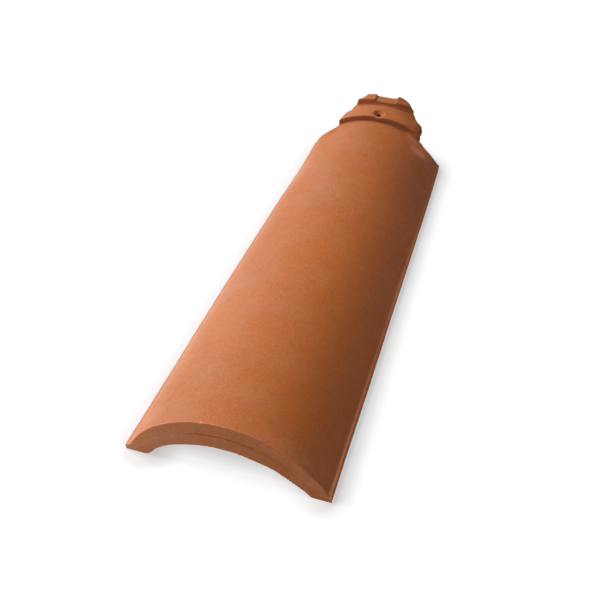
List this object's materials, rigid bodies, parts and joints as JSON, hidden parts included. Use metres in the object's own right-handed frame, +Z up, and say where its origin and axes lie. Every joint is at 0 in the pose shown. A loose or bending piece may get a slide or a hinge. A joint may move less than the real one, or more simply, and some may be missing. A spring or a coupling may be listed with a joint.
{
  "type": "clay roof tile",
  "caption": "Tapered clay cover or ridge tile: a barrel arch with a collared, notched head, a nail hole and a rib under its wide end.",
  "frame": {"origin": "on the floor, under the middle of the tile's length and width", "axes": "+Y along the length from the wide front end to the narrow head, +Z up from the floor to the crown, X across"},
  "size_m": [0.156, 0.45, 0.052],
  "materials": {
    "fired_clay": "matte unglazed fired clay"
  },
  "bodies": {
    "root": {"cover_tile": "fired_clay"}
  },
  "joints": []
}
